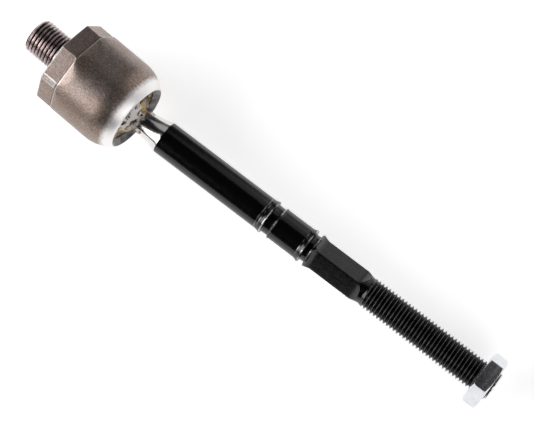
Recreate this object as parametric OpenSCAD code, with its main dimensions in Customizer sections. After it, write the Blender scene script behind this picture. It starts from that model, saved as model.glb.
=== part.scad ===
// Inner tie rod (steering axial joint) at rest on a level floor.
// Millimetres. The origin is on the stud's axis at the shoulder that seats on the rack.
// +X runs along the housing towards the rod, +Z is up.

/* [View] */
// which piece to show

/* [Rack stud] */
// major diameter of the rack stud's thread (M14 x 1.5)
stud_d = 14; // [10:0.5:20]
// length of the stud from the shoulder to its end
stud_len = 16.1; // [10:0.5:30]
// length of the chamfer on the stud's end
stud_chamfer_len = 1.1; // [0.3:0.1:2]
// diameter at the tip of that chamfer
stud_tip_d = 12; // [8:0.1:18]

/* [Wrench collar] */
// size across the flats of the eight-sided collar
collar_af = 32.8; // [28:0.1:38]
// length of the collar's flats from the shoulder
collar_len = 6.8; // [4:0.1:14]
// turn of the collar's corners round the axis from straight up
collar_turn = 3.1; // [0:0.1:45]
// radial size of the chamfer at the shoulder
collar_chamfer_r = 0.45; // [0.2:0.05:3]
// length of the chamfer at the shoulder
collar_chamfer_len = 0.4; // [0.2:0.05:3]
// distance across the two trimmed corners
collar_trim_w = 34.5; // [32:0.1:38]

/* [Housing] */
// diameter of the round housing
body_d = 35.5; // [30:0.1:50]
// length from the shoulder to the crest of the rolled lip
body_len = 34.5; // [28:0.1:50]
// radial size of the bevel where the round body starts
body_bevel_r = 0.85; // [0.2:0.05:2]
// length of the bevel where the round body starts
body_bevel_len = 0.7; // [0.2:0.05:2]
// length of the rounded shoulder, back from the crest
round_len = 10.5; // [6:0.1:14]
// radius of the rounded shoulder's profile
round_r = 15.8; // [8:0.1:17]
// end of the rounded shoulder, back from the crest
lip_back = 0.5; // [0.2:0.05:2]
// how far the lip rolls inwards from the shoulder's end to its crest
lip_roll = 0.78; // [0.3:0.01:2]
// width of the flare between the crest and the throat that the rod comes out of
flare_w = 2.3; // [1:0.05:4]
// depth of the throat's outer edge below the crest
throat_depth = 1.95; // [0.5:0.05:5]

/* [Ball and race] */
// distance of the ball's centre below the crest of the lip
ball_depth = 9.9; // [8:0.1:14]
// thickness of the housing's wall round the race
housing_wall = 4.2; // [2.5:0.05:6]
// running clearance between ball and race
ball_gap = 0.05; // [0.01:0.01:0.1]
// wall of the plastic race
race_wall = 1.65; // [1:0.05:3]
// running clearance between race and housing
race_gap = 0.05; // [0.01:0.01:0.1]
// thickness of the race behind the ball
race_floor = 1.4; // [0.8:0.1:3]
// distance of the race's front face ahead of the ball's centre
race_front = 7.5; // [5:0.1:10]
// radius of the grease hole in the race's back
race_hole_r = 4; // [1:0.1:8]
// width of the slots in the race's front edge
race_slot_w = 1.4; // [0.5:0.1:3]
// depth of those slots
race_slot_len = 5; // [1:0.1:8]
// number of slots
race_slots = 6; // [3:1:8]

/* [Rod] */
// radius of the neck at its thinnest
neck_r = 4.9; // [3:0.05:7]
// where the neck starts to widen, from the ball's centre
neck_flare_start = 13.2; // [12:0.1:18]
// where the bare neck ends and the black shank starts
neck_end = 22.4; // [18:0.1:30]
// diameter of the shank
shank_d = 13; // [10:0.1:18]
// end of the full shank
shank_end = 111.6; // [90:0.1:150]

/* [Boot grooves] */
// left lip crest of the first groove
groove_a_start = 71.6; // [50:0.1:100]
// right lip crest of the first groove
groove_a_end = 75.3; // [50:0.1:100]
// diameter at the bottom of the first groove
groove_a_root_d = 11.9; // [9:0.1:13]
// diameter of the first groove's left lip
groove_a_lip_d = 14.1; // [12:0.1:16]
// diameter of the first groove's right lip
groove_a_far_lip_d = 13.7; // [12:0.1:16]
// left lip crest of the second groove
groove_b_start = 89.2; // [70:0.1:120]
// right lip crest of the second groove
groove_b_end = 91.9; // [70:0.1:120]
// diameter at the bottom of the second groove
groove_b_root_d = 11.2; // [9:0.1:13]
// diameter of the second groove's left lip
groove_b_lip_d = 14.3; // [12:0.1:16]
// diameter of the second groove's right lip
groove_b_far_lip_d = 14.1; // [12:0.1:16]
// length of the steep slopes of a lip
lip_run = 0.5; // [0.2:0.05:1]
// length of the long slope that rises to a groove's left lip
lip_ramp = 1.7; // [0.5:0.05:3]

/* [Square flats] */
// size across the square flats
flats_af = 8.8; // [6:0.1:14]
// start of the full flats
flats_start = 94.8; // [80:0.1:120]
// end of the full flats
flats_end = 111.7; // [90:0.1:130]
// radius of the run-out towards the ball
flats_in_r = 2.6; // [1:0.1:8]
// radius of the run-out towards the thread
flats_out_r = 5; // [1:0.1:10]
// turn of the flats round the rod
flats_turn = -38; // [-45:0.5:45]

/* [Outer thread] */
// major diameter of the outer thread (M12 x 1.5)
thread_d = 12; // [10:0.5:18]
// where the thread starts
thread_start = 116.6; // [100:0.1:140]
// diameter of the plain blank ahead of the thread
blank_d = 11; // [9:0.1:16]
// end of the rod
rod_end = 174.4; // [150:0.1:260]
// length of the end chamfer
rod_chamfer_len = 0.9; // [0.3:0.1:2]
// diameter at the tip of the end chamfer
rod_tip_d = 10.2; // [8:0.1:14]

/* [Jam nut] */
// size across the nut's flats
nut_af = 19; // [16:0.5:27]
// thickness of the nut
nut_h = 6.1; // [4:0.1:12]
// distance of the nut's middle from the ball's centre
nut_pos = 170.3; // [120:0.1:240]
// radial clearance between nut and thread
nut_gap = 0.05; // [0.01:0.01:0.1]
// diameter of the bearing circle left by the nut's chamfers
nut_face_d = 18.9; // [15:0.1:24]
// angle of the nut's chamfers
nut_chamfer_deg = 22; // [15:1:45]
// size of the countersink at each end of the nut's bore
nut_sink = 0.5; // [0.2:0.1:1.5]

/* [Rest] */
// sideways angle between rod and housing as it lies
rest_yaw = 3.62; // [-10:0.01:10]

/* [Hidden] */
$fn = 96;
stud_r = stud_d / 2;
stud_tip_r = stud_tip_d / 2;
body_r = body_d / 2;
round_y = body_r - round_r;
round_start = body_len - round_len;
lip_x = body_len - lip_back;
lip_r = round_y + sqrt(pow(round_r, 2) - pow(lip_x - round_start, 2));
lip_crest_r = lip_r - lip_roll;
throat_r = lip_crest_r - flare_w;
throat_x = body_len - throat_depth;
ball_x = body_len - ball_depth;
cavity_r = body_r - housing_wall;
race_r = cavity_r - race_gap;
ball_r = race_r - race_wall - ball_gap;
race_back = ball_r + race_floor;
cavity_back = ball_x - race_back - race_gap;
shank_r = shank_d / 2;
neck_flare_len = neck_end - neck_flare_start;
neck_rise = shank_r - neck_r;
neck_flare_r = (pow(neck_flare_len, 2) + pow(neck_rise, 2)) / (2 * neck_rise);
thread_r = thread_d / 2;
blank_r = blank_d / 2;
nut_corner_r = nut_af / 2 / cos(30);
nut_face_r = nut_face_d / 2;
nut_chamfer_len = (nut_corner_r - nut_face_r) * tan(nut_chamfer_deg);
nut_contact = nut_pos + nut_h / 2 - (nut_af / 2 - nut_face_r) * tan(nut_chamfer_deg);
nut_reach = sqrt(pow(nut_contact, 2) + pow(nut_af / 2, 2));
rest_droop = asin(body_r / nut_reach) - atan(nut_af / 2 / nut_contact);
over = 2;

// turns a shape that is built up along Z so that it runs along X
module along_x() {
    rotate([0, 90, 0]) children();
}

// puts the rod's own pieces in place: ball centre, droop and sideways angle
module on_rod() {
    translate([ball_x, 0, 0]) rotate([0, rest_droop, rest_yaw]) children();
}

module stud_profile() {
    polygon([
        [0, -stud_len],
        [stud_tip_r, -stud_len],
        [stud_r, -stud_len + stud_chamfer_len],
        [stud_r, over],
        [0, over]
    ]);
}

module collar() {
    intersection() {
        linear_extrude(height = collar_len + body_bevel_len)
            rotate([0, 0, collar_turn])
                circle(r = collar_af / 2 / cos(22.5), $fn = 8);
        linear_extrude(height = collar_len + body_bevel_len)
            rotate([0, 0, collar_turn + 45])
                square([collar_trim_w, body_d * 2], center = true);
        rotate_extrude() polygon([
            [0, 0],
            [body_r - collar_chamfer_r, 0],
            [body_r, collar_chamfer_len],
            [body_r, collar_len + body_bevel_len],
            [0, collar_len + body_bevel_len]
        ]);
    }
}

module body_profile() {
    polygon([
        [0, collar_len],
        [body_r - body_bevel_r, collar_len],
        [body_r, collar_len + body_bevel_len],
        [body_r, round_start],
        [0, round_start]
    ]);
    intersection() {
        translate([round_y, round_start]) circle(r = round_r);
        translate([0, round_start]) square([body_r + over, lip_x - round_start]);
    }
    polygon([
        [0, lip_x],
        [lip_r, lip_x],
        [lip_r - 0.35 * (lip_r - lip_crest_r), body_len - 0.3 * lip_back],
        [lip_crest_r, body_len],
        [0, body_len]
    ]);
}

module mouth_profile() {
    polygon([
        [0, throat_x - over],
        [throat_r, throat_x - over],
        [throat_r, throat_x],
        [throat_r + throat_depth - 0.25, body_len - 0.25],
        [lip_crest_r - 0.2, body_len],
        [lip_crest_r - 0.2, body_len + over],
        [0, body_len + over]
    ]);
}

// a pocket round the ball: straight at the back and round ahead of the ball's centre
module pocket_profile(r, back, front) {
    polygon([
        [0, back],
        [r - 2, back],
        [r, back + 2],
        [r, ball_x],
        [0, ball_x]
    ]);
    intersection() {
        translate([0, ball_x]) circle(r = r);
        translate([0, ball_x]) square([r + over, front]);
    }
}

module socket_housing() {
    color([0.34, 0.29, 0.27])
    along_x() difference() {
        union() {
            rotate_extrude() union() {
                stud_profile();
                body_profile();
            }
            collar();
        }
        rotate_extrude() union() {
            pocket_profile(cavity_r, cavity_back, throat_x - ball_x);
            mouth_profile();
        }
    }
}

module ball_race() {
    color([0.72, 0.56, 0.34])
    difference() {
        along_x() rotate_extrude() difference() {
            pocket_profile(race_r, ball_x - race_back, race_front);
            translate([0, ball_x]) circle(r = ball_r + ball_gap);
            translate([-over, ball_x - race_back - over]) square([race_hole_r + over, race_back]);
        }
        for (i = [0 : race_slots - 1])
            rotate([i * 360 / race_slots + 15, 0, 0])
                translate([ball_x + race_front - race_slot_len, -race_slot_w / 2, 0])
                    cube([race_slot_len + over, race_slot_w, body_r]);
    }
}

// one boot groove with its raised lips, cut and added on the shank's profile
module groove_lips(a, b, ra, rb) {
    polygon([
        [shank_r - over, a - lip_ramp],
        [shank_r, a - lip_ramp],
        [ra, a],
        [ra - 0.1, a + 0.15],
        [shank_r - over, a + lip_run]
    ]);
    polygon([
        [shank_r - over, b - lip_run],
        [rb - 0.1, b - 0.15],
        [rb, b],
        [shank_r, b + lip_run],
        [shank_r - over, b + lip_run]
    ]);
}

module groove_cut(a, b, root_r) {
    polygon([
        [root_r, a + lip_run],
        [shank_r + over, a - lip_run / 4],
        [shank_r + over, b + lip_run / 4],
        [root_r, b - lip_run]
    ]);
}

module rod_profile() {
    difference() {
        union() {
            intersection() {
                circle(r = ball_r);
                translate([0, -ball_r]) square([ball_r, 2 * ball_r]);
            }
            difference() {
                polygon([
                    [0, 0],
                    [neck_r, 0],
                    [neck_r, neck_flare_start],
                    [shank_r, neck_flare_start],
                    [shank_r, shank_end],
                    [blank_r, thread_start - 0.6],
                    [blank_r, thread_start],
                    [thread_r, thread_start + 0.7],
                    [thread_r, rod_end - rod_chamfer_len],
                    [rod_tip_d / 2, rod_end],
                    [0, rod_end]
                ]);
                translate([neck_r + neck_flare_r, neck_flare_start]) circle(r = neck_flare_r, $fn = 360);
            }
            groove_lips(groove_a_start, groove_a_end, groove_a_lip_d / 2, groove_a_far_lip_d / 2);
            groove_lips(groove_b_start, groove_b_end, groove_b_lip_d / 2, groove_b_far_lip_d / 2);
        }
        groove_cut(groove_a_start, groove_a_end, groove_a_root_d / 2);
        groove_cut(groove_b_start, groove_b_end, groove_b_root_d / 2);
    }
}

// what one face of the square loses, with a round run-out at each end
module flat_cutter() {
    reach = shank_r + over;
    translate([flats_start, -reach, flats_af / 2])
        cube([flats_end - flats_start, 2 * reach, reach]);
    translate([flats_start, 0, flats_af / 2 + flats_in_r])
        rotate([90, 0, 0]) cylinder(r = flats_in_r, h = 2 * reach, center = true);
    translate([flats_end, 0, flats_af / 2 + flats_out_r])
        rotate([90, 0, 0]) cylinder(r = flats_out_r, h = 2 * reach, center = true);
}

module tie_rod() {
    color([0.07, 0.07, 0.08])
    on_rod() difference() {
        along_x() rotate_extrude() rod_profile();
        for (i = [0 : 3]) rotate([flats_turn + 90 * i, 0, 0]) flat_cutter();
    }
}

module jam_nut() {
    color([0.72, 0.74, 0.78])
    on_rod() translate([nut_pos - nut_h / 2, 0, 0]) along_x() difference() {
        intersection() {
            linear_extrude(height = nut_h) rotate([0, 0, 30]) circle(r = nut_corner_r, $fn = 6);
            rotate_extrude() polygon([
                [0, 0],
                [nut_face_r, 0],
                [nut_corner_r, nut_chamfer_len],
                [nut_corner_r, nut_h - nut_chamfer_len],
                [nut_face_r, nut_h],
                [0, nut_h]
            ]);
        }
        translate([0, 0, -over]) cylinder(r = thread_r + nut_gap, h = nut_h + 2 * over);
        translate([0, 0, -nut_sink]) cylinder(r1 = thread_r + 2 * nut_sink, r2 = thread_r, h = 2 * nut_sink);
        translate([0, 0, nut_h - nut_sink]) cylinder(r1 = thread_r, r2 = thread_r + 2 * nut_sink, h = 2 * nut_sink);
    }
}

socket_housing();
ball_race();
tie_rod();
jam_nut();
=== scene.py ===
"""Looks of an inner tie rod, built round its CAD frame. Metres, in the frame's own axes."""

import math

import bmesh
import bpy
from bpy.props import FloatProperty, FloatVectorProperty, IntProperty, PointerProperty
from mathutils import Matrix, Vector, noise


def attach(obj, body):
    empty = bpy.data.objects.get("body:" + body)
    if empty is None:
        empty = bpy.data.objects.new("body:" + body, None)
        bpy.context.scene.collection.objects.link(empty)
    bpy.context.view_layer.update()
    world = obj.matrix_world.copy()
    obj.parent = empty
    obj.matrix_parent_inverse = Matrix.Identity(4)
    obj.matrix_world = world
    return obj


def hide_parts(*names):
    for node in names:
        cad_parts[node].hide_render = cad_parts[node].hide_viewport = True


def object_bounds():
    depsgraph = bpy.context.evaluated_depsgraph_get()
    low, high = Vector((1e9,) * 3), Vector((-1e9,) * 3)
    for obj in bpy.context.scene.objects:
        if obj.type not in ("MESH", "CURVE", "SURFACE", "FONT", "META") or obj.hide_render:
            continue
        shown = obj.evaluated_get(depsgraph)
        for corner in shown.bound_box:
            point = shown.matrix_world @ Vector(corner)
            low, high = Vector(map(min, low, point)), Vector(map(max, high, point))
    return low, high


bl_info = {
    "name": "Inner Tie Rod",
    "version": (1, 0, 0),
    "blender": (4, 5, 0),
    "location": "View3D > Sidebar > Tie Rod",
    "description": "Builds an inner tie rod's forged, black and plated pieces over its CAD frame",
    "category": "Object",
}

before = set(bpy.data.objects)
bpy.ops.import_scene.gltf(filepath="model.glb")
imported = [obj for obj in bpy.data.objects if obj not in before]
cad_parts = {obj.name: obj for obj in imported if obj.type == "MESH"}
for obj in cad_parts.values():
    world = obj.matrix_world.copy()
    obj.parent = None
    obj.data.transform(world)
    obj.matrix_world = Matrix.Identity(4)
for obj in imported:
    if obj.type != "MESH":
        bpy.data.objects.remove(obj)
CAD_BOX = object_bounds()

MM = 0.001

# The housing's own sizes, in millimetres along its axis from the shoulder
STUD_LEN, STUD_TIP_R, STUD_CHAMFER = 16.1, 6.0, 1.1
COLLAR_FLAT, COLLAR_LEN, COLLAR_TURN, COLLAR_TRIM = 16.4, 6.8, 3.1, 17.25
# half of a trimmed corner's width and the flats' spacing, in degrees
TRIM_HALF, FLAT_STEP = 4.01, 45
CHAMFER_R, CHAMFER_LEN = 17.3, 0.4
BODY_R, RUN_OUT_END, ROUND_START, ROUND_R, ROUND_Y, ROUND_SWEEP = 17.75, 12.2, 24.0, 15.8, 1.95, 39.2
CREST_X, CREST_R = 34.5, 13.4
THROAT_X, THROAT_R = 32.55, 11.1
BALL_X, CAVITY_R, CAVITY_BACK = 24.6, 13.55, 11.35

# The grease: its place from the ball's centre, its radius, the thin smear's half thickness, and in degrees
# round the mouth the bead's middle, its reach each way, its fade and how far it stays white
GREASE_X, GREASE_R, SMEAR = 7.55, 10.55, 0.1
GREASE_MIDDLE, GREASE_REACH, GREASE_FADE, GREASE_WHITE = 200, 92, 10, 56

# The rod's own sizes, in millimetres from the ball's centre
BALL_R, NECK_R, ROOT_R, FLARE_START, NECK_END, FLARE_ARC = 11.8, 4.9, 0.6, 13.2, 22.4, 27.25
SHANK_R, SHANK_END = 6.5, 111.6
# each boot groove's left and right lip, its root's radius and its two lips' radii
GROOVES = ((71.6, 75.3, 5.95, 7.05, 6.85), (89.2, 91.9, 5.6, 7.15, 7.05))
LIP_RAMP = 1.7
FLAT, FLAT_START, FLAT_END, FLAT_IN, FLAT_OUT = 4.4, 94.8, 111.7, 2.6, 5.0
FLAT_ANGLE = 142.0
BLANK_R, THREAD_START, ROD_END, ROD_TIP_R, ROD_CHAMFER = 5.5, 116.6, 174.4, 5.1, 0.9
NUT_POS, NUT_H, NUT_FACE_R, NUT_SLOPE = 170.3, 6.1, 9.45, 22
DROOP, YAW = math.radians(2.7317177), math.radians(3.62)

BALL = (BALL_X * MM, 0, 0)
ON_ROD = Matrix.Translation(BALL) @ Matrix.Rotation(YAW, 4, "Z") @ Matrix.Rotation(DROOP, 4, "Y")

# the value of the attribute of wear and painted light on a thread's crest, and how fast it falls towards the
# root, where the stud's thread is painted dark as shade
CREST_WORN, WEAR_AND_SHADE_FALL = 0.16, 1.6

# The studio: the floor's radius and centre in metres, and the camera's place, axes, focal length and width
FLOOR_R, FLOOR_X, FLOOR_Y = 0.27, 0.12, 0.07
CAMERA_PLACE = (0.24763, -0.16981, 0.80931)
CAMERA_RIGHT, CAMERA_UP = (0.75172, 0.65948, 0), (-0.63412, 0.72282, 0.27463)
FOCAL_PX, WIDTH_PX, SENSOR_MM = 2300, 534, 36

NOISE, RANGE, MIX, MATH = "ShaderNodeTexNoise", "ShaderNodeMapRange", "ShaderNodeMix", "ShaderNodeMath"


def linear(code):
    """An sRGB hex colour as the linear values that a shader takes."""
    parts = [int(code[i : i + 2], 16) / 255 for i in (1, 3, 5)]
    return (*(c / 12.92 if c <= 0.04045 else ((c + 0.055) / 1.055) ** 2.4 for c in parts), 1.0)


def grains(width):
    """The scale that draws noise with patches of that width in millimetres."""
    return 1 / (width * MM)


def size(name, text, value, low, high):
    """A length in metres that a user may change."""
    value, low, high = value * MM, low * MM, high * MM
    return FloatProperty(
        name=name, description=text, default=value, min=low, max=high, unit="LENGTH", precision=5
    )


def colour(name, text, code):
    """A colour that a user may change."""
    return FloatVectorProperty(
        name=name, description=text, default=linear(code), min=0, max=1, size=4, subtype="COLOR"
    )


class TieRodSizes(bpy.types.PropertyGroup):
    """Sizes of the fine shapes that the CAD frame leaves plain."""

    pitch: size("Thread pitch", "Pitch of both rolled threads", 1.5, 0.8, 2.5)
    stud_r: size("Stud radius", "Crest radius of the thread on the rack stud", 7.0, 5, 10)
    thread_r: size("Rod thread radius", "Crest radius of the thread on the rod", 6.0, 4, 9)
    nut_flat: size("Nut half width", "Half of the size across the nut's flats", 9.5, 8, 13)
    edge: size("Edge break", "Rounding of the collar's and the flats' edges", 0.16, 0.02, 0.5)
    ripple: size("Groove ripple", "Height of the rolled ripples beside the boot grooves", 0.09, 0, 0.2)
    grease: size("Grease bead", "Half thickness of the bead of grease in the mouth", 1.0, 0.2, 1.3)
    around: IntProperty(name="Steps around", description="Steps round a form", default=120, min=48, max=240)


class TieRodFinishes(bpy.types.PropertyGroup):
    """Colours of the finishes."""

    forging: colour("Forging", "Phosphated forging, middle tone", "#9c8f89")
    forging_brown: colour("Forging, brown", "Phosphated forging, browner clouds", "#948073")
    forging_dark: colour("Forging, dark", "Phosphated forging, dark grain", "#68574f")
    forging_light: colour("Forging, light", "Phosphated forging, rubbed patches", "#cdbdb6")
    # this colour is also painted along the housing's edges, as highlights and rubbed wear
    lip: colour("Rolled lip", "Steel burnished by the rolling tool", "#f1eeed")
    neck: colour("Ground neck", "Ground bare steel", "#dcd7d5")
    black: colour("Black coat", "Satin black coat on the rod", "#060506")
    zinc: colour("Zinc", "Clear bright zinc plate", "#e2e3e6")
    race: colour("Race", "Tan moulded acetal", "#b99a63")
    grease: colour("Grease", "Pale grease", "#f2ebe6")
    floor: colour("Floor", "Pale floor", "#f6f6f6")


def add(tree, kind, inputs=(), output=None, **settings):
    """Adds a node with its settings and links. An input, by number or name, is a value or a node's output."""
    node = tree.nodes.new(kind)
    for key, value in settings.items():
        setattr(node, key, value)
    for key, value in inputs.items() if isinstance(inputs, dict) else enumerate(inputs):
        if isinstance(value, bpy.types.NodeSocket):
            tree.links.new(value, node.inputs[key])
        else:
            node.inputs[key].default_value = value
    return node if output is None else node.outputs[output]


def begin(name, on_rod=False):
    """A new material, its tree and the place on the piece in metres. On the rod, that is along the rod from
    the ball's centre."""
    material = bpy.data.materials.new(name)
    material.use_nodes = True
    tree = material.node_tree
    tree.nodes.clear()
    place = add(tree, "ShaderNodeTexCoord", output="Object")
    if on_rod:
        turn = {"Vector": place, "Location": BALL, "Rotation": (0, DROOP, YAW)}
        place = add(tree, "ShaderNodeMapping", turn, "Vector", vector_type="TEXTURE")
    return material, tree, place


def close(tree, inputs):
    """Ends a material's tree with its shader, which takes those inputs."""
    shader = add(tree, "ShaderNodeBsdfPrincipled", inputs, "BSDF")
    add(tree, "ShaderNodeOutputMaterial", {"Surface": shader})


def phosphated_forging(look):
    """Drop-forged, shot-blasted and phosphated steel: a brown-grey metal with a fine grain, faint clouds and
    a broad soft sheen. Edges are rubbed lighter and painted lighter still as highlights, the concave corner
    at each flat's end is painted dark as shade, and the rolling tool has burnished the lip bright."""
    material, tree, place = begin("phosphated_forged_steel")
    # blast grain of about 0.15 mm, drawn 0.35 mm wide so that it shows
    grain = add(tree, NOISE, {"Vector": place, "Scale": grains(0.35), "Detail": 1.0, "Roughness": 0.6}, "Fac")
    patch = add(tree, NOISE, {"Vector": place, "Scale": grains(0.8), "Detail": 3.0, "Roughness": 0.6}, "Fac")
    cloud = add(tree, NOISE, {"Vector": place, "Scale": grains(14.0), "Detail": 2.0, "Roughness": 0.5}, "Fac")
    share = add(tree, RANGE, (cloud, 0.4, 0.65), 0)
    base = add(tree, MIX, {0: share, 6: look.forging, 7: look.forging_brown}, 2, data_type="RGBA")
    share = add(tree, RANGE, (patch, 0.45, 0.7, 0.0, 0.55), 0)
    base = add(tree, MIX, {0: share, 6: base, 7: look.forging_light}, 2, data_type="RGBA")
    share = add(tree, RANGE, (grain, 0.46, 0.66, 0.0, 0.75), 0)
    base = add(tree, MIX, {0: share, 6: base, 7: look.forging_dark}, 2, data_type="RGBA")
    # painted highlight: where the attribute is above zero, the edges are painted the lip's bright colour, as
    # rubbed wear and as highlights
    wear_and_painted_light = add(tree, "ShaderNodeAttribute", output="Fac", attribute_name="wear_and_painted_light")
    rubbed = add(tree, RANGE, (patch, 0.3, 0.6, 0.5, 1.0), 0)
    share = add(tree, MATH, (wear_and_painted_light, rubbed), 0, operation="MULTIPLY", use_clamp=True)
    base = add(tree, MIX, {0: share, 6: base, 7: look.lip}, 2, data_type="RGBA")
    # painted shade: where the attribute is below zero, in the concave corner at the end of each flat, the
    # colour is painted dark brown
    corner_shade = add(tree, RANGE, (wear_and_painted_light, 0.0, -1.0, 0.0, 0.8), 0)
    base = add(tree, MIX, {0: corner_shade, 6: base, 7: linear("#2b2220")}, 2, data_type="RGBA")
    along = add(tree, "ShaderNodeSeparateXYZ", {"Vector": place}, "X")
    ragged = add(tree, RANGE, (patch, 0.2, 0.8, -0.0005, 0.0005), 0)
    edge = add(tree, MATH, (along, ragged), 0, operation="ADD")
    shine = add(tree, RANGE, (edge, 0.0299, 0.0319), 0)
    base = add(tree, MIX, {0: shine, 6: base, 7: look.lip}, 2, data_type="RGBA")
    metal = add(tree, RANGE, (shine, 0.0, 1.0, 0.93, 1.0), 0)
    dull = add(tree, RANGE, (patch, 0.3, 0.7, 0.34, 0.44), 0)
    rough = add(tree, MIX, {0: shine, 2: dull, 3: 0.42}, 0, data_type="FLOAT")
    part = add(tree, MATH, (patch, 0.7), 0, operation="MULTIPLY")
    height = add(tree, MATH, (grain, part), 0, operation="ADD")
    flat = add(tree, RANGE, (shine, 0.0, 1.0, 1.0, 0.12), 0)
    height = add(tree, MATH, (height, flat), 0, operation="MULTIPLY")
    normal = add(tree, "ShaderNodeBump", {"Height": height, "Distance": 0.1 * MM, "Strength": 0.7}, "Normal")
    close(tree, {"Base Color": base, "Metallic": metal, "Roughness": rough, "Normal": normal})
    return material


def machined_mouth():
    """Turned steel inside the mouth, dulled by grease: dark grey with fine tool rings."""
    material, tree, place = begin("machined_greased_steel")
    smear = add(tree, NOISE, {"Vector": place, "Scale": grains(3.0), "Detail": 3.0}, "Fac")
    # tool rings of about 0.1 mm feed, drawn 0.35 mm apart so that they show
    wave = {"Vector": place, "Scale": grains(0.35) * math.tau / 40, "Distortion": 0.6}
    rings = add(tree, "ShaderNodeTexWave", wave, "Fac", wave_type="BANDS", bands_direction="X")
    share = add(tree, RANGE, (smear, 0.35, 0.7), 0)
    ends = {0: share, 6: linear("#454245"), 7: linear("#7f7b7c")}
    base = add(tree, MIX, ends, 2, data_type="RGBA")
    rough = add(tree, RANGE, (smear, 0.3, 0.7, 0.24, 0.4), 0)
    normal = add(tree, "ShaderNodeBump", {"Height": rings, "Distance": 0.02 * MM, "Strength": 0.5}, "Normal")
    close(tree, {"Base Color": base, "Metallic": 0.9, "Roughness": rough, "Normal": normal})
    return material


def phosphated_thread():
    """Rolled thread with a dark phosphate and a pinkish glint on the flanks. Its roots are painted nearly
    black as shade.
    """
    material, tree, place = begin("dark_phosphated_thread")
    grain = add(tree, NOISE, {"Vector": place, "Scale": grains(0.5), "Detail": 2.0}, "Fac")
    patch = add(tree, NOISE, {"Vector": place, "Scale": grains(2.2), "Detail": 3.0}, "Fac")
    share = add(tree, RANGE, (patch, 0.35, 0.7), 0)
    ends = {0: share, 6: linear("#b3a2a1"), 7: linear("#e2d4d3")}
    base = add(tree, MIX, ends, 2, data_type="RGBA")
    share = add(tree, RANGE, (grain, 0.5, 0.8, 0.0, 0.4), 0)
    base = add(tree, MIX, {0: share, 6: base, 7: linear("#5a4b4a")}, 2, data_type="RGBA")
    wear_and_painted_light = add(tree, "ShaderNodeAttribute", output="Fac", attribute_name="wear_and_painted_light")
    # painted shade: the roots, where the attribute falls below zero, are painted nearly black
    root = add(tree, RANGE, (wear_and_painted_light, -0.24, -0.69), 0)
    base = add(tree, MIX, {0: root, 6: base, 7: linear("#1a1414")}, 2, data_type="RGBA")
    rough = add(tree, RANGE, (patch, 0.3, 0.7, 0.22, 0.32), 0)
    normal = add(tree, "ShaderNodeBump", {"Height": grain, "Distance": 0.03 * MM, "Strength": 0.5}, "Normal")
    close(tree, {"Base Color": base, "Metallic": 0.92, "Roughness": rough, "Normal": normal})
    return material


def ground_neck(look):
    """Ground bare steel: bright, with fine rings round it. By the ball it has a brown film, with grease on
    the upper side that is white in the middle and stained tan at both ends."""
    material, tree, place = begin("ground_bare_steel", on_rod=True)
    parts = add(tree, "ShaderNodeSeparateXYZ", {"Vector": place})
    # grinding marks of about 0.05 mm, drawn 0.3 mm wide so that they show
    stretched = add(tree, "ShaderNodeMapping", {"Vector": place, "Scale": (1.0, 0.05, 0.05)}, "Vector")
    marks = add(tree, NOISE, {"Vector": stretched, "Scale": grains(0.3), "Detail": 2.0}, "Fac")
    smear = add(tree, NOISE, {"Vector": place, "Scale": grains(2.0), "Detail": 3.0, "Roughness": 0.6}, "Fac")
    lump = add(tree, NOISE, {"Vector": place, "Scale": grains(1.9), "Detail": 2.0, "Roughness": 0.55}, "Fac")
    torn = add(tree, RANGE, (smear, 0.3, 0.7, -0.0016, 0.0016), 0)
    edge = add(tree, MATH, (parts.outputs["X"], torn), 0, operation="ADD")
    film = add(tree, RANGE, (edge, 0.0146, 0.0132), 0)
    # the grease squeezed out on the upper side only
    across = add(tree, "ShaderNodeVectorMath", {0: place, 1: (0, 1, 1)}, "Vector", operation="MULTIPLY")
    across = add(tree, "ShaderNodeVectorMath", {0: across}, "Vector", operation="NORMALIZE")
    inputs = {0: across, 1: (0, -0.42, 0.91)}
    side = add(tree, "ShaderNodeVectorMath", inputs, "Value", operation="DOT_PRODUCT")
    above = add(tree, RANGE, (side, 0.2, 0.42), 0)
    reach = add(tree, RANGE, (edge, 0.0132, 0.0116), 0)
    white = add(tree, MATH, (above, reach), 0, operation="MULTIPLY")
    lumps = add(tree, RANGE, (lump, 0.4, 0.46), 0)
    white = add(tree, MATH, (white, lumps), 0, operation="MULTIPLY")
    base = add(tree, MIX, {0: film, 6: look.neck, 7: linear("#4c3b33")}, 2, data_type="RGBA")
    # towards its two ends the grease is stained by the race
    frayed = add(tree, RANGE, (smear, 0.3, 0.7, -0.2, 0.2), 0)
    ends = add(tree, MATH, (side, frayed), 0, operation="ADD")
    stained = add(tree, RANGE, (ends, 0.8, 0.65), 0)
    paste = add(tree, MIX, {0: stained, 6: look.grease, 7: look.race}, 2, data_type="RGBA")
    base = add(tree, MIX, {0: white, 6: base, 7: paste}, 2, data_type="RGBA")
    metal = add(tree, RANGE, (white, 0.0, 1.0, 1.0, 0.0), 0)
    rough = add(tree, RANGE, (marks, 0.3, 0.7, 0.15, 0.22), 0)
    wet = add(tree, MATH, (film, 0.14), 0, operation="MULTIPLY")
    rough = add(tree, MATH, (rough, wet), 0, operation="ADD")
    fine = add(tree, MATH, (marks, 0.04), 0, operation="MULTIPLY")
    thick = add(tree, MATH, (white, lump), 0, operation="MULTIPLY")
    height = add(tree, MATH, (fine, thick), 0, operation="ADD")
    normal = add(tree, "ShaderNodeBump", {"Height": height, "Distance": 0.5 * MM, "Strength": 0.9}, "Normal")
    close(tree, {"Base Color": base, "Metallic": metal, "Roughness": rough, "Normal": normal})
    return material


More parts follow.
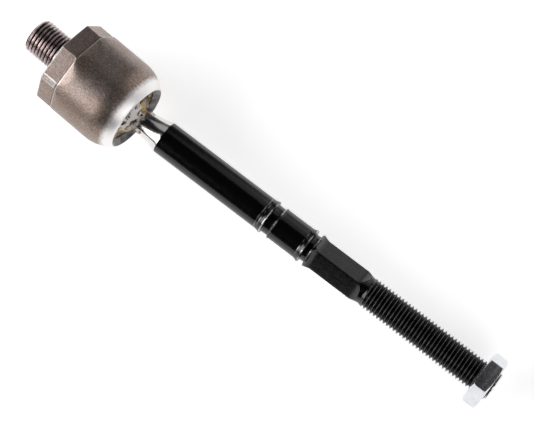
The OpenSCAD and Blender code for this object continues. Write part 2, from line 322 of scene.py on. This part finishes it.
def satin_black(look):
    """Satin black coat over rolled steel: deep black with an even, slightly rippled gloss. Its raised edges
    are rubbed to bare metal here and there."""
    material, tree, place = begin("satin_black_coat", on_rod=True)
    ripple = add(tree, NOISE, {"Vector": place, "Scale": grains(1.6), "Detail": 3.0, "Roughness": 0.6}, "Fac")
    dust = add(tree, NOISE, {"Vector": place, "Scale": grains(0.5), "Detail": 2.0}, "Fac")
    share = add(tree, RANGE, (dust, 0.58, 0.8, 0.0, 0.5), 0)
    base = add(tree, MIX, {0: share, 6: look.black, 7: linear("#151213")}, 2, data_type="RGBA")
    wear_and_painted_light = add(tree, "ShaderNodeAttribute", output="Fac", attribute_name="wear_and_painted_light")
    chips = add(tree, RANGE, (dust, 0.34, 0.48), 0)
    bare = add(tree, MATH, (wear_and_painted_light, chips), 0, operation="MULTIPLY", use_clamp=True)
    base = add(tree, MIX, {0: bare, 6: base, 7: linear("#d6d0ce")}, 2, data_type="RGBA")
    rough = add(tree, RANGE, (ripple, 0.3, 0.7, 0.14, 0.22), 0)
    part = add(tree, MATH, (dust, 0.3), 0, operation="MULTIPLY")
    height = add(tree, MATH, (ripple, part), 0, operation="ADD")
    normal = add(tree, "ShaderNodeBump", {"Height": height, "Distance": 0.05 * MM, "Strength": 0.4}, "Normal")
    close(tree, {"Base Color": base, "Metallic": bare, "Roughness": rough, "IOR": 1.5, "Normal": normal})
    return material


def bright_zinc(look):
    """Clear bright zinc plate on cold-formed steel: smooth, pale and a little blue, with faint die marks."""
    material, tree, place = begin("bright_zinc_plate", on_rod=True)
    marks = add(tree, NOISE, {"Vector": place, "Scale": grains(1.2), "Detail": 3.0}, "Fac")
    stain = add(tree, NOISE, {"Vector": place, "Scale": grains(4.0), "Detail": 2.0}, "Fac")
    share = add(tree, RANGE, (stain, 0.4, 0.7), 0)
    base = add(tree, MIX, {0: share, 6: look.zinc, 7: linear("#d6d8dc")}, 2, data_type="RGBA")
    rough = add(tree, RANGE, (marks, 0.3, 0.7, 0.22, 0.28), 0)
    normal = add(tree, "ShaderNodeBump", {"Height": marks, "Distance": 0.03 * MM, "Strength": 0.25}, "Normal")
    close(tree, {"Base Color": base, "Metallic": 1.0, "Roughness": rough, "Normal": normal})
    return material


def tan_acetal(look):
    """Moulded tan acetal, wet with grease: waxy and glossy, with brown smears."""
    material, tree, place = begin("greased_tan_acetal")
    stain = add(tree, NOISE, {"Vector": place, "Scale": grains(1.8), "Detail": 4.0, "Roughness": 0.6}, "Fac")
    share = add(tree, RANGE, (stain, 0.38, 0.52), 0)
    base = add(tree, MIX, {0: share, 6: linear("#7d5b33"), 7: look.race}, 2, data_type="RGBA")
    share = add(tree, RANGE, (stain, 0.54, 0.68), 0)
    base = add(tree, MIX, {0: share, 6: base, 7: linear("#ecd9b0")}, 2, data_type="RGBA")
    rough = add(tree, RANGE, (stain, 0.3, 0.7, 0.22, 0.42), 0)
    normal = add(tree, "ShaderNodeBump", {"Height": stain, "Distance": 0.12 * MM, "Strength": 0.6}, "Normal")
    inputs = {"Base Color": base, "Roughness": rough, "IOR": 1.48, "Normal": normal}
    inputs |= {"Subsurface Weight": 0.12, "Subsurface Scale": 0.8 * MM}
    close(tree, inputs)
    return material


def pale_grease(look):
    """Lithium grease: whitish, wet and lumpy, with brown flecks in it."""
    material, tree, place = begin("lithium_grease")
    lump = add(tree, NOISE, {"Vector": place, "Scale": grains(1.4), "Detail": 3.0, "Roughness": 0.6}, "Fac")
    fleck = add(tree, NOISE, {"Vector": place, "Scale": grains(0.9), "Detail": 2.0, "Roughness": 0.6}, "Fac")
    share = add(tree, RANGE, (lump, 0.36, 0.52), 0)
    base = add(tree, MIX, {0: share, 6: linear("#a89a90"), 7: look.grease}, 2, data_type="RGBA")
    share = add(tree, RANGE, (fleck, 0.62, 0.68, 0.0, 0.75), 0)
    base = add(tree, MIX, {0: share, 6: base, 7: linear("#4b3f38")}, 2, data_type="RGBA")
    normal = add(tree, "ShaderNodeBump", {"Height": lump, "Distance": 0.3 * MM, "Strength": 0.6}, "Normal")
    inputs = {"Base Color": base, "Roughness": 0.2, "IOR": 1.46, "Normal": normal}
    inputs |= {"Subsurface Weight": 0.25, "Subsurface Scale": 0.6 * MM}
    close(tree, inputs)
    return material


def soft_min(values, edge):
    """The smallest of values, with the corner between two of them rounded over about edge millimetres."""
    low = min(values)
    if edge <= 0:
        return low
    return low - edge * math.log(sum(math.exp((low - v) / edge) for v in values)) * 0.6


def thread_depth(phase, pitch):
    """How far below its crest a rolled thread is, at a share of its pitch."""
    share = abs((phase + 0.5) % 1.0 - 0.5) * 2
    crest, root = 0.16, 0.8
    if share <= crest:
        return 0.0
    if share >= root:
        return (0.55 + 0.06 * math.sin((share - root) / (1 - root) * math.pi / 2)) * pitch
    return 0.55 * pitch * (share - crest) / (root - crest)


def even(count, start=0.0, extra=()):
    """Angles in degrees: evenly spaced ones and the extra ones, without near doubles."""
    found = sorted({round((start + 360 * i / count) % 360, 4) for i in range(count)})
    found = [a for a in found if all(abs((a - e + 180) % 360 - 180) > 0.5 for e in extra)]
    return sorted(found + [round(e % 360, 4) for e in extra])


def arc(centre_x, centre_r, radius, first, last, steps):
    """Points on an arc of a profile, by angle in degrees from the axis."""
    for i in range(steps + 1):
        t = math.radians(first + (last - first) * i / steps)
        yield centre_x + radius * math.cos(t), centre_r + radius * math.sin(t)


class Turned:
    """A closed form made of rings round the X axis, in millimetres. A ring gives each step's place along the
    axis and radius; each band between two rings has a material's number."""

    def __init__(self, angles):
        self.angles = [math.radians(a) for a in angles]
        self.spots = [(math.sin(a), -math.cos(a)) for a in self.angles]
        self.count = len(angles)
        self.mesh = bmesh.new()
        # an attribute per point: above zero it marks rubbed wear and painted highlights, below zero painted
        # shade in corners and thread roots
        self.wear_and_painted_light = self.mesh.verts.layers.float.new("wear_and_painted_light")
        self.last = None

    def point(self, along, radius, step, wear_and_painted_light=0.0):
        y, z = self.spots[step]
        vert = self.mesh.verts.new((along * MM, radius * y * MM, radius * z * MM))
        vert[self.wear_and_painted_light] = wear_and_painted_light
        return vert

    def ring(self, shape, material=0, wear_and_painted_light=0.0):
        """shape is (along, radius), or a function of the step's number that gives it."""
        made = []
        for step in range(self.count):
            along, radius = shape(step) if callable(shape) else shape
            made.append(self.point(along, radius, step, wear_and_painted_light(step) if callable(wear_and_painted_light) else wear_and_painted_light))
        if self.last:
            for step in range(self.count):
                after = (step + 1) % self.count
                self.face((self.last[step], self.last[after], made[after], made[step]), material)
        self.last = made
        return made

    def face(self, corners, material):
        made = self.mesh.faces.new(corners)
        made.material_index = material
        made.smooth = True

    def thread(self, start, end, radius_at, pitch, rows, finish_at):
        """A right-hand helix from start to end. radius_at takes the place along the axis and the share of a
        pitch. Its rows follow the helix, so the crests stay whole. finish_at gives the material's number
        there."""
        turns = int((end - start) / pitch) + 2
        grid, places = [], []
        for row in range(-rows, turns * rows):
            line = []
            for step in range(self.count):
                along = start + pitch * (row / rows + step / self.count)
                held = min(max(along, start), end)
                phase = row / rows if held == along else 0.5
                # towards the root the attribute falls below zero, which paints the stud's thread roots dark
                # as shade
                wear_and_painted_light = CREST_WORN - thread_depth(phase, WEAR_AND_SHADE_FALL)
                line.append(self.point(held, radius_at(held, phase), step, wear_and_painted_light))
            grid.append(line)
            places.append(start + pitch * (row + 0.5) / rows)
        for row in range(len(grid) - 1):
            for step in range(self.count):
                after, jump = (step + 1) % self.count, rows if step == self.count - 1 else 0
                if row + 1 + jump >= len(grid):
                    continue
                ahead = row + jump
                corners = (grid[row][step], grid[ahead][after], grid[ahead + 1][after], grid[row + 1][step])
                self.face(corners, finish_at(places[row] + pitch * step / self.count))
        first = [self.point(start, radius_at(start, 0.5), step) for step in range(self.count)]
        for step in range(self.count):
            after = (step + 1) % self.count
            if self.last:
                self.face((self.last[step], self.last[after], first[after], first[step]), finish_at(start))
        self.last = [self.point(end, radius_at(end, 0.5), step) for step in range(self.count)]

    def finish(self, name, place, body, node, materials, sharp=38):
        """The mesh as a piece that stands for a CAD node and rides on its body. Its points are moved to their
        place, so that the piece itself stays at the origin."""
        mesh = self.mesh
        bmesh.ops.remove_doubles(mesh, verts=mesh.verts, dist=2e-6)
        bmesh.ops.dissolve_degenerate(mesh, edges=mesh.edges, dist=1e-6)
        bmesh.ops.recalc_face_normals(mesh, faces=mesh.faces)
        bmesh.ops.transform(mesh, matrix=place, verts=mesh.verts)
        data = bpy.data.meshes.new(name)
        mesh.to_mesh(data)
        mesh.free()
        for material in materials:
            data.materials.append(material)
        data.set_sharp_from_angle(angle=math.radians(sharp))
        piece = bpy.data.objects.new(name, data)
        bpy.context.scene.collection.objects.link(piece)
        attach(piece, body)
        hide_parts(node)
        return piece


class TIEROD_OT_housing(bpy.types.Operator):
    """Builds the forged socket housing with its threaded stud, collar and rolled lip"""

    bl_idname = "tierod.housing"
    bl_label = "Build the socket housing"

    def execute(self, context):
        sizes, look = context.scene.tie_rod_sizes, context.scene.tie_rod_finishes
        forged, mouth, rolled = range(3)
        edge, stud_r, pitch = sizes.edge / MM, sizes.stud_r / MM, sizes.pitch / MM
        corners, strips = [], []
        for k in range(8):
            corner = COLLAR_TURN + FLAT_STEP * k
            if k % 4 == 1:
                strips += [corner - TRIM_HALF, corner + TRIM_HALF]
            else:
                corners.append(corner)
        extra = [c + s for c in corners + strips for s in (-1.1, -0.45, 0, 0.45, 1.1)]
        form = Turned(even(sizes.around, 0, extra))

        def collar(step):
            """The collar's radius there: eight flats, two of their corners trimmed."""
            angle = math.degrees(form.angles[step])
            off = (angle - COLLAR_TURN) % FLAT_STEP - FLAT_STEP / 2
            walls = [COLLAR_FLAT / math.cos(math.radians(o)) for o in (off, FLAT_STEP - abs(off))]
            off = (angle - COLLAR_TURN - FLAT_STEP + 90) % 180 - 90
            if abs(off) < 60:
                walls.append(COLLAR_TRIM / math.cos(math.radians(off)))
            return soft_min(walls, edge / 4)

        def shoulder(along, back):
            """The collar near the shoulder: its edge rounded, its corners cut by the chamfer."""

            def shape(step):
                cone = CHAMFER_R + (BODY_R - CHAMFER_R) * min(1.0, along / CHAMFER_LEN)
                return along, min(collar(step) - back, cone)

            return shape

        def gap(angle, places):
            return min(abs((angle - place + 180) % 360 - 180) for place in places)

        # the attribute along the collar's corners and trimmed strips: lines painted light, as highlights and
        # rubbed wear
        def rubbed(step):
            angle = math.degrees(form.angles[step])
            if gap(angle, strips) < 0.5:
                return 0.9
            if gap(angle, (COLLAR_TURN + FLAT_STEP, COLLAR_TURN + 5 * FLAT_STEP)) < 4:
                return 0.4
            return 0.45 if gap(angle, corners) < 0.5 else 0.0

        def stud(along, phase):
            outside = min(stud_r, STUD_TIP_R + (along + STUD_LEN) * (stud_r - STUD_TIP_R) / STUD_CHAMFER)
            if along >= -0.02:
                return stud_r - 0.8
            return min(outside, stud_r - thread_depth(phase, pitch))

        form.ring((-STUD_LEN, 0), rolled)
        form.ring((-STUD_LEN, STUD_TIP_R - 0.35), rolled)
        form.ring((-STUD_LEN + 0.1, STUD_TIP_R - 0.05), rolled)
        form.thread(-STUD_LEN + 0.2, 0.0, stud, pitch, 10, lambda along: rolled)
        form.ring((0, stud_r - 0.8), forged)
        form.ring((0, COLLAR_FLAT - 1.2), forged)
        # the third number paints the shoulder's rounded edge light, as a highlight and rubbed wear
        for along, back, wear_and_painted_light in ((0.0, 0.36, 0.1), (0.05, 0.18, 0.7), (0.16, 0.06, 0.8), (0.34, 0.0, 0.3)):
            form.ring(shoulder(along, back), forged, wear_and_painted_light)
        for along in (0.6, 1.1, 2.6, 4.2, 5.8):
            form.ring(shoulder(along, 0.0), forged, rubbed)
        form.ring(shoulder(COLLAR_LEN - 0.35, 0.0), forged, rubbed)

        def run_out(along, rise, wear_and_painted_light):
            """Beyond its end a flat rises steeply, then softly, into the round body. The line between the two
            is painted light, as a highlight and rubbed wear, the concave corner at the flat's end is painted
            dark as shade, and both fade towards the corners."""

            def share(step):
                return wear_and_painted_light * min(1.0, max(0.0, (BODY_R - collar(step)) / 0.4))

            form.ring(lambda step: (COLLAR_LEN + along, min(BODY_R, collar(step) + rise)), forged, share)

        # the third number: below zero the concave corner at the flat's end is painted dark as shade, above
        # zero the line is painted light, as a highlight and rubbed wear
        for along, rise, wear_and_painted_light in (
            (0.0, 0.0, -0.75),
            (0.14, 0.08, -0.5),
            (0.5, 0.5, 0.35),
            (0.62, 0.6, 0.9),
            (0.8, 0.68, 0.4),
            (1.15, 0.78, 0.0),
            (1.9, 0.96, 0.0),
            (2.8, 1.14, 0.0),
            (3.8, 1.28, 0.0),
            (5.0, 1.4, 0.0),
        ):
            run_out(along, rise, wear_and_painted_light)
        for k in range(1, 9):
            form.ring((RUN_OUT_END + (ROUND_START - RUN_OUT_END) * k / 9, BODY_R), forged)
        for x, r in arc(ROUND_START, ROUND_Y, ROUND_R, 90, 90 - ROUND_SWEEP, 20):
            form.ring((x, r), forged)
        # the rolled lip's crest, then its turn into the mouth
        for x, r in ((34.1, 14.07), (34.25, 13.93), (34.38, 13.75), (34.46, 13.58), (CREST_X, CREST_R)):
            form.ring((x, r), forged)
        for x, r in ((34.49, 13.28), (34.4, 13.1), (34.25, 12.85)):
            form.ring((x, r), mouth)
        form.ring((THROAT_X + 0.15, THROAT_R + 0.2), mouth)
        form.ring((THROAT_X, THROAT_R + 0.02), mouth)
        low = math.degrees(math.asin(THROAT_R / CAVITY_R))
        for x, r in arc(BALL_X, 0, CAVITY_R, low, 90, 10):
            form.ring((x, r), mouth)
        for x, r in ((CAVITY_BACK + 2, CAVITY_R), (CAVITY_BACK, CAVITY_R - 2), (CAVITY_BACK, 0)):
            form.ring((x, r), mouth)
        finishes = [phosphated_forging(look), machined_mouth(), phosphated_thread()]
        place = Matrix.Identity(4)
        form.finish("housing_forging", place, "housing", "socket_housing", finishes)
        return {"FINISHED"}


class TIEROD_OT_race(bpy.types.Operator):
    """Finishes the race and lays the bead of grease in the mouth"""

    bl_idname = "tierod.race"
    bl_label = "Finish the race and its grease"

    def execute(self, context):
        sizes, look = context.scene.tie_rod_sizes, context.scene.tie_rod_finishes
        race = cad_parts["ball_race"]
        race.data.materials.clear()
        race.data.materials.append(tan_acetal(look))
        half = sizes.grease / MM
        steps, sides = 180, 14
        mesh = bmesh.new()
        rings, stained = [], []
        for i in range(steps):
            angle = 360 * i / steps
            y, z = math.sin(math.radians(angle)), -math.cos(math.radians(angle))
            # thick on the upper side: white in the middle, stained tan by the race towards both ends
            far = abs((angle - GREASE_MIDDLE + 180) % 360 - 180)
            stained.append(far > GREASE_WHITE)
            share = min(1.0, max(0.0, (GREASE_REACH - far) / GREASE_FADE))
            lump = noise.noise(Vector((y * 4.2, z * 4.2, 3.1)))
            bulk = SMEAR + share * max(0.0, half * (0.75 + 0.7 * lump) - SMEAR)
            line = []
            for j in range(sides):
                turn = math.tau * j / sides
                reach = bulk * (1 + 0.25 * noise.noise(Vector((y * 9, z * 9, j * 0.35))))
                along = BALL_X + GREASE_X + bulk * 0.5 + reach * math.cos(turn) * 0.9
                radius = GREASE_R + reach * math.sin(turn) * 0.75
                line.append(mesh.verts.new((along * MM, radius * y * MM, radius * z * MM)))
            rings.append(line)
        for i in range(steps):
            for j in range(sides):
                a, b = rings[i], rings[(i + 1) % steps]
                made = mesh.faces.new((a[j], a[(j + 1) % sides], b[(j + 1) % sides], b[j]))
                made.smooth = True
                made.material_index = int(stained[i])
        bmesh.ops.recalc_face_normals(mesh, faces=mesh.faces)
        data = bpy.data.meshes.new("grease_bead")
        mesh.to_mesh(data)
        mesh.free()
        data.materials.append(pale_grease(look))
        data.materials.append(race.data.materials[0])
        bead = bpy.data.objects.new("grease_bead", data)
        context.scene.collection.objects.link(bead)
        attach(bead, "race")
        return {"FINISHED"}


class TIEROD_OT_rod(bpy.types.Operator):
    """Builds the rod: ball, ground neck, grooved shank, square flats and outer thread"""

    bl_idname = "tierod.rod"
    bl_label = "Build the rod"

    def execute(self, context):
        sizes, look = context.scene.tie_rod_sizes, context.scene.tie_rod_finishes
        pitch, thread_r, ripple, edge = (
            value / MM for value in (sizes.pitch, sizes.thread_r, sizes.ripple, sizes.edge)
        )
        bare, black = range(2)
        form = Turned(even(sizes.around, FLAT_ANGLE + 45))

        def shank(along):
            """The shank's radius from the second groove's right lip to the blank."""
            lip = GROOVES[1][4] - SHANK_R
            slope = min(1.0, max(0.0, (along - GROOVES[1][1]) / LIP_RAMP))
            fall = min(1.0, max(0.0, (along - SHANK_END) / (THREAD_START - 0.6 - SHANK_END)))
            return SHANK_R + lip * (1 - slope) + (BLANK_R - SHANK_R) * fall

        def flats(along, radius):
            """A ring of the square: the shank's radius cut by four flats with round run-outs."""
            run, turn = (FLAT_START - along, FLAT_IN) if along < FLAT_START else (along - FLAT_END, FLAT_OUT)
            level = FLAT + turn - math.sqrt(max(0, turn**2 - max(0, run) ** 2)) if run < turn else 99

            def shape(step):
                angle = math.degrees(form.angles[step])
                off = (angle - FLAT_ANGLE + 45) % 90 - 45
                walls = [level / math.cos(math.radians(o)) for o in (off, 90 - abs(off))]
                return along, soft_min([radius, *walls], edge / 3)

            return shape

        def thread(along, phase):
            rise = min(1.0, max(0.0, (along - THREAD_START) / 0.7))
            outside = BLANK_R + (thread_r - BLANK_R) * rise
            tip = ROD_TIP_R + (ROD_END - along) / ROD_CHAMFER * (thread_r - ROD_TIP_R)
            deep = min(1.0, max(0.0, (along - THREAD_START) / 2.0))
            return min(outside, tip, thread_r - thread_depth(phase, pitch) * deep - (1 - deep) * 0.2)

        def burr(along, radius, amount, seed):
            """A ring that is torn a little, as a rolled edge is."""

            def shape(step):
                y, z = form.spots[step]
                wave = noise.noise(Vector((y * 5, z * 5, seed)))
                return along + amount * 1.5 * wave, radius + amount * (wave - 0.6)

            return shape

        def rubbed(amount, seed):
            """Bare metal in patches round a rolled edge."""

            def share(step):
                y, z = form.spots[step]
                return amount * max(0.0, 0.5 + noise.noise(Vector((y * 3, z * 3, seed))) * 1.4)

            return share

        # the neck's root is rounded only as far as clears the race's edge at full swing
        high = NECK_R + ROOT_R
        out = math.sqrt((BALL_R + ROOT_R) ** 2 - high**2)
        meet = math.degrees(math.atan2(high, out))
        for x, r in arc(0, 0, BALL_R, 180, meet, 34):
            form.ring((x, r), bare)
        for x, r in arc(out, high, ROOT_R, 180 + meet, 270, 8):
            form.ring((x, r), bare)
        sweep = math.degrees(math.asin((NECK_END - FLARE_START) / FLARE_ARC))
        for x, r in arc(FLARE_START, NECK_R + FLARE_ARC, FLARE_ARC, 270, 270 + sweep, 16):
            form.ring((x, r), bare)
        form.ring((NECK_END + 0.06, SHANK_R), black)
        start = NECK_END
        for first, last, root, near, far in GROOVES:
            ahead = (2.6, LIP_RAMP) if first == GROOVES[0][0] else (LIP_RAMP,)
            reach = first - ahead[0] - 0.5
            for k in range(1, 17):
                form.ring((start + (reach - start) * k / 16, SHANK_R), black)
            for back in ahead:
                for shift, lift in ((-0.3, 0), (-0.12, 0.8), (0, 1.0), (0.12, 0.8), (0.3, 0.1)):
                    rise = max(0.0, (shift + LIP_RAMP - back) / LIP_RAMP) * (near - SHANK_R)
                    line = rubbed(0.5 * lift, back)
                    radius = SHANK_R + rise + lift * ripple
                    form.ring(burr(first - back + shift, radius, 0.03, back), black, line)
            for shift in (-1.0, -0.6, -0.3):
                radius = SHANK_R + (near - SHANK_R) * (shift + LIP_RAMP) / LIP_RAMP
                form.ring(burr(first + shift, radius, 0.03, first), black)
            middle = (first + last) / 2
            for along, radius, torn, seed, bared in (
                (first - 0.1, near - 0.04, 0.05, first, 0.9),
                (first, near, 0.06, first, 1.2),
                (first + 0.12, near - 0.08, 0.06, first, 0.9),
                (first + 0.38, root + 0.35, 0.05, first, 0.0),
                (first + 0.6, root + 0.05, 0.02, first, 0.0),
                (middle - 0.3, root + 0.04, 0.04, first + 1, 0.0),
                (middle + 0.3, root, 0.02, first + 2, 0.0),
                (last - 0.6, root + 0.05, 0.02, last, 0.0),
                (last - 0.38, root + 0.35, 0.05, last, 0.0),
                (last - 0.12, far - 0.08, 0.06, last, 0.9),
                (last, far, 0.05, last, 1.2),
                (last + 0.14, far - 0.06, 0.04, last, 0.6),
            ):
                form.ring(burr(along, radius, torn, seed), black, rubbed(bared, seed))
            if first == GROOVES[0][0]:
                form.ring((last + 0.5, SHANK_R + 0.01), black)
            start = last + 0.6
        along = FLAT_START - FLAT_IN + 0.1
        while along < THREAD_START - 0.1:
            form.ring(flats(along, shank(along)), black)
            along += 0.25 if along < FLAT_START + 0.5 or along > FLAT_END - 0.5 else 1.0
        form.thread(THREAD_START, ROD_END, thread, pitch, 10, lambda x: bare if x > ROD_END - 0.62 else black)
        form.ring((ROD_END, ROD_TIP_R - 0.15), bare)
        form.ring((ROD_END - 0.15, 1.2), bare)
        form.ring((ROD_END - 0.8, 0), bare)
        finishes = [ground_neck(look), satin_black(look)]
        form.finish("rod_forging", ON_ROD, "rod", "tie_rod", finishes)
        return {"FINISHED"}


class TIEROD_OT_nut(bpy.types.Operator):
    """Builds the plated jam nut"""

    bl_idname = "tierod.nut"
    bl_label = "Build the jam nut"

    def execute(self, context):
        sizes, look = context.scene.tie_rod_sizes, context.scene.tie_rod_finishes
        flat, bore, edge = sizes.nut_flat / MM, sizes.thread_r / MM + 0.05, sizes.edge / MM
        corners = [30 + 60 * k for k in range(6)]
        form = Turned(even(sizes.around, 0, [c + s for c in corners for s in (-1.6, -0.8, 0, 0.8, 1.6)]))
        back, front = NUT_POS - NUT_H / 2, NUT_POS + NUT_H / 2
        fall = math.tan(math.radians(NUT_SLOPE))

        def wall(step):
            off = (math.degrees(form.angles[step]) + 30) % 60 - 30
            near = flat / math.cos(math.radians(off))
            return soft_min([near, flat / math.cos(math.radians(60 - abs(off)))], edge / 2)

        def side(end, way, inside, lift):
            """A ring where the nut's side meets its chamfer."""
            return lambda s: (
                end + way * (max(0.0, wall(s) - inside - NUT_FACE_R) * fall + lift),
                wall(s) - inside,
            )

        face = (
            (0.5, bore),
            (0.12, bore + 0.4),
            (0, bore + 0.6),
            (0, NUT_FACE_R - 0.5),
            (0, NUT_FACE_R),
        )
        for along, radius in face:
            form.ring((back + along, radius))
        form.ring(side(back, 1, 0.08, 0))
        form.ring(side(back, 1, 0, 0.1))
        form.ring(lambda s: (NUT_POS, wall(s)))
        form.ring(side(front, -1, 0, 0.1))
        form.ring(side(front, -1, 0.08, 0))
        for along, radius in reversed(face):
            form.ring((front - along, radius))
        form.ring((back + 0.5, bore))
        form.finish("nut_zinc", ON_ROD, "nut", "jam_nut", [bright_zinc(look)])
        return {"FINISHED"}


class TIEROD_OT_stage(bpy.types.Operator):
    """Sets the floor, the light and the camera"""

    bl_idname = "tierod.stage"
    bl_label = "Set the stage"

    def execute(self, context):
        scene, look = context.scene, context.scene.tie_rod_finishes
        low = CAD_BOX[0].z
        form = bmesh.new()
        bmesh.ops.create_circle(form, cap_ends=True, segments=96, radius=FLOOR_R)
        bmesh.ops.translate(form, verts=form.verts, vec=(FLOOR_X, FLOOR_Y, low))
        self.prop(form, "floor", self.floor_finish(look))
        form = bmesh.new()
        bmesh.ops.create_icosphere(form, subdivisions=4, radius=2.6)
        tent = self.prop(form, "studio_dark", self.dark_finish())
        tent.visible_camera = False
        self.world(scene)
        self.softbox("left_softbox", -139, 25, 1.15, (1.2, 0.7), 4.4)
        self.softbox("front_softbox", -12, 29, 1.3, (1.2, 0.8), 1.9)
        self.softbox("right_card", 60, 21, 1.7, (2.4, 1.2), 0.5)
        self.softbox("near_card", 75, 29, 0.354, (0.34, 0.5), 0.45)
        self.softbox("back_card", 142, 35, 1.2, (0.6, 0.8), 0.42)
        camera = bpy.data.cameras.new("camera")
        camera.lens, camera.sensor_width = FOCAL_PX / WIDTH_PX * SENSOR_MM, SENSOR_MM
        camera.clip_start, camera.clip_end = 0.01, 20
        holder = bpy.data.objects.new("camera", camera)
        right, up = Vector(CAMERA_RIGHT), Vector(CAMERA_UP)
        back = right.cross(up).normalized()
        turn = Matrix((right, up, back)).transposed().to_4x4()
        holder.matrix_world = Matrix.Translation(CAMERA_PLACE) @ turn
        scene.collection.objects.link(holder)
        scene.camera = holder
        scene.view_settings.view_transform = "Standard"
        return {"FINISHED"}

    def prop(self, form, name, material):
        """A thing of the studio, which isn't part of the object."""
        data = bpy.data.meshes.new(name)
        form.to_mesh(data)
        form.free()
        data.materials.append(material)
        made = bpy.data.objects.new(name, data)
        bpy.context.scene.collection.objects.link(made)
        return made

    def floor_finish(self, look):
        """Matt white board. It looks white to the eye and in the metal, and keeps the soft shadow."""
        material, tree, place = begin("matt_white_board")
        fibre = add(tree, NOISE, {"Vector": place, "Scale": grains(6.0), "Detail": 2.0}, "Fac")
        base = add(tree, MIX, {0: fibre, 6: look.floor, 7: linear("#f1f1f1")}, 2, data_type="RGBA")
        path = add(tree, "ShaderNodeLightPath")
        ends = (path.outputs["Is Camera Ray"], path.outputs["Is Glossy Ray"])
        seen = add(tree, MATH, ends, 0, operation="MAXIMUM")
        seen = add(tree, MATH, (seen, path.outputs["Is Transmission Ray"]), 0, operation="MAXIMUM")
        glow = add(tree, MATH, (seen, 0.62), 0, operation="MULTIPLY")
        inputs = {"Base Color": base, "Roughness": 0.9, "Specular IOR Level": 0.1}
        inputs |= {"Emission Color": (1, 1, 1, 1), "Emission Strength": glow}
        close(tree, inputs)
        return material

    def dark_finish(self):
        """The dark room round the table: black cloth, a little blue overhead, with a faint glow low down."""
        material, tree, place = begin("black_cloth")
        toward = add(tree, "ShaderNodeVectorMath", {0: place}, "Vector", operation="NORMALIZE")
        parts = add(tree, "ShaderNodeSeparateXYZ", {"Vector": toward})
        weave = add(tree, NOISE, {"Vector": toward, "Scale": 3.0, "Detail": 2.0}, "Fac")
        low = add(tree, RANGE, (parts.outputs["Z"], 0.35, -0.05, 0.0, 1.0), 0)
        far = add(tree, RANGE, (parts.outputs["Y"], -0.5, 0.3, 0.0, 1.0), 0)
        glow = add(tree, MATH, (low, far), 0, operation="MULTIPLY")
        glow = add(tree, RANGE, (glow, 0.0, 1.0, 0.01, 0.22), 0)
        uneven = add(tree, RANGE, (weave, 0.3, 0.7, 0.85, 1.15), 0)
        glow = add(tree, MATH, (glow, uneven), 0, operation="MULTIPLY")
        shade = add(tree, "ShaderNodeEmission", {"Color": linear("#f0f4ff"), "Strength": glow}, 0)
        add(tree, "ShaderNodeOutputMaterial", {"Surface": shade})
        return material

    def world(self, scene):
        """White beyond the floor's edge, to the eye, in metal and through glass."""
        world = bpy.data.worlds.new("studio")
        scene.world = world
        world.use_nodes = True
        tree = world.node_tree
        tree.nodes.clear()
        path = add(tree, "ShaderNodeLightPath")
        ends = (path.outputs["Is Camera Ray"], path.outputs["Is Glossy Ray"])
        seen = add(tree, MATH, ends, 0, operation="MAXIMUM")
        seen = add(tree, MATH, (seen, path.outputs["Is Transmission Ray"]), 0, operation="MAXIMUM")
        shade = add(tree, "ShaderNodeBackground", {"Color": (1, 1, 1, 1), "Strength": seen}, 0)
        add(tree, "ShaderNodeOutputWorld", {"Surface": shade})

    def softbox(self, name, azimuth, height, reach, box, level):
        """A soft light that stands that way from the part, height degrees up, and glows at that level."""
        lamp = bpy.data.lights.new(name, "AREA")
        lamp.shape, lamp.size, lamp.size_y = "RECTANGLE", box[0], box[1]
        lamp.energy = level * math.pi * box[0] * box[1]
        holder = bpy.data.objects.new(name, lamp)
        rise, way = math.radians(height), math.radians(azimuth)
        flat = math.cos(rise)
        back = Vector((flat * math.cos(way), flat * math.sin(way), math.sin(rise)))
        holder.location = Vector((0.08, 0, 0)) + back * reach
        holder.rotation_mode = "QUATERNION"
        holder.rotation_quaternion = back.to_track_quat("Z", "Y")
        bpy.context.scene.collection.objects.link(holder)


class TIEROD_PT_panel(bpy.types.Panel):
    """Lists the steps, the sizes and the colours"""

    bl_idname = "TIEROD_PT_panel"
    bl_label = "Inner Tie Rod"
    bl_space_type = "VIEW_3D"
    bl_region_type = "UI"
    bl_category = "Tie Rod"

    def draw(self, context):
        column = self.layout.column()
        for step in STEPS:
            column.operator(step.bl_idname)
        for group in (context.scene.tie_rod_sizes, context.scene.tie_rod_finishes):
            for name in group.__annotations__:
                column.prop(group, name)


STEPS = (TIEROD_OT_housing, TIEROD_OT_race, TIEROD_OT_rod, TIEROD_OT_nut, TIEROD_OT_stage)
CLASSES = (TieRodSizes, TieRodFinishes, *STEPS, TIEROD_PT_panel)


def register():
    for made in CLASSES:
        bpy.utils.register_class(made)
    bpy.types.Scene.tie_rod_sizes = PointerProperty(type=TieRodSizes)
    bpy.types.Scene.tie_rod_finishes = PointerProperty(type=TieRodFinishes)


def unregister():
    del bpy.types.Scene.tie_rod_finishes
    del bpy.types.Scene.tie_rod_sizes
    for made in reversed(CLASSES):
        bpy.utils.unregister_class(made)


def main():
    register()
    for step in STEPS:
        group, name = step.bl_idname.split(".")
        getattr(getattr(bpy.ops, group), name)()


if __name__ == "__main__":
    main()
